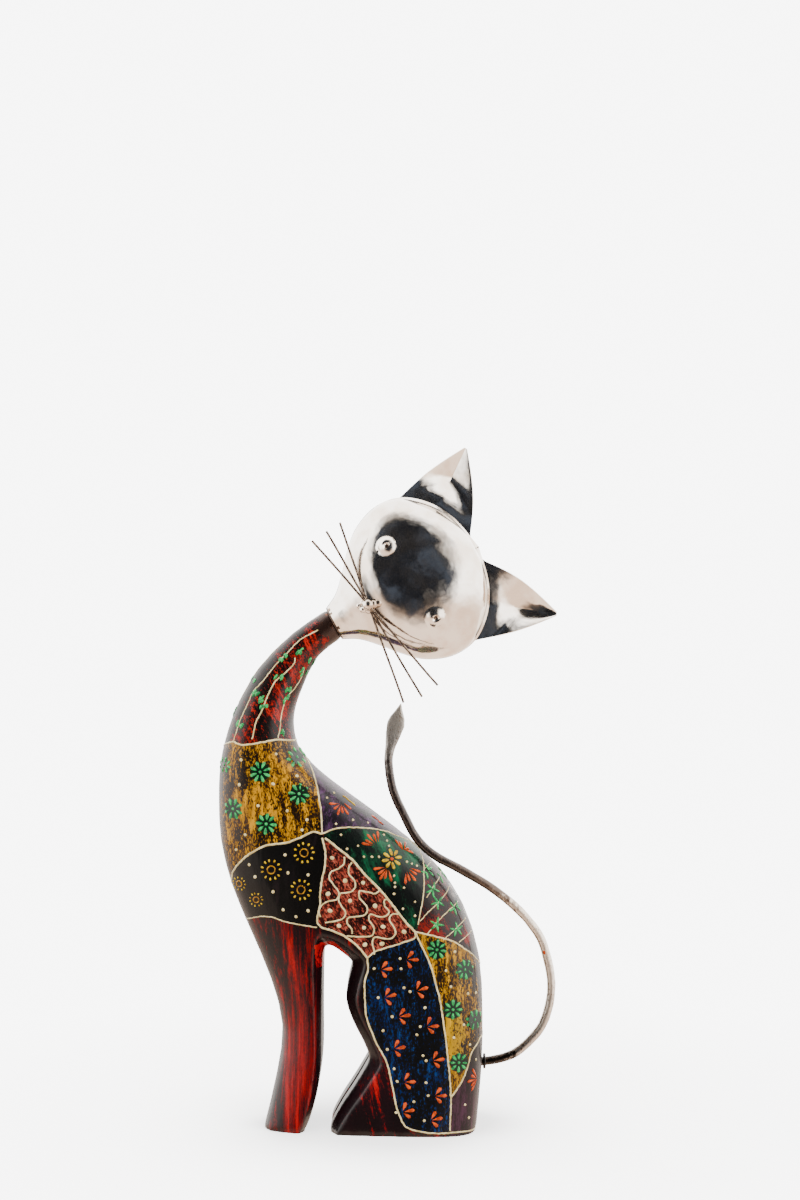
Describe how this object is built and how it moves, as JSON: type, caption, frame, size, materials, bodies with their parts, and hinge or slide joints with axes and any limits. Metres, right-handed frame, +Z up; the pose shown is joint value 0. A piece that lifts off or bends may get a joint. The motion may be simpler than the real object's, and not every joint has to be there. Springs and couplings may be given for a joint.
{
  "type": "painted wooden cat figurine with a metal head and tail",
  "caption": "Seated cat in profile: a slim carved and painted wooden body with a dished metal head, folded metal ears, wire whiskers and a bent rod tail.",
  "frame": {"origin": "on the flat underside of the haunches, in the figure's mid-plane", "axes": "+Z up, +X from the chest towards the tail, the face and the profile that is seen look to -Y"},
  "size_m": [0.2013, 0.0662, 0.3995],
  "materials": {
    "painted_wood": "glossy clear lacquer over hand-painted patches in many colours with raised cream lines and dots",
    "nickel_sheet": "polished nickel plate on sheet, lightly scratched",
    "whisker_wire": "grey drawn wire",
    "solder": "beads of bright solder",
    "tail_iron": "silvery rod with dark brown patina, its flat end dark grey and hammered"
  },
  "bodies": {
    "root": {"body": "painted_wood", "head_front": "nickel_sheet", "head_back": "nickel_sheet", "ear_upper": "nickel_sheet", "ear_lower": "nickel_sheet", "whisker_1": "whisker_wire", "whisker_2": "whisker_wire", "whisker_3": "whisker_wire", "nose": "solder", "tail": "tail_iron"}
  },
  "joints": []
}
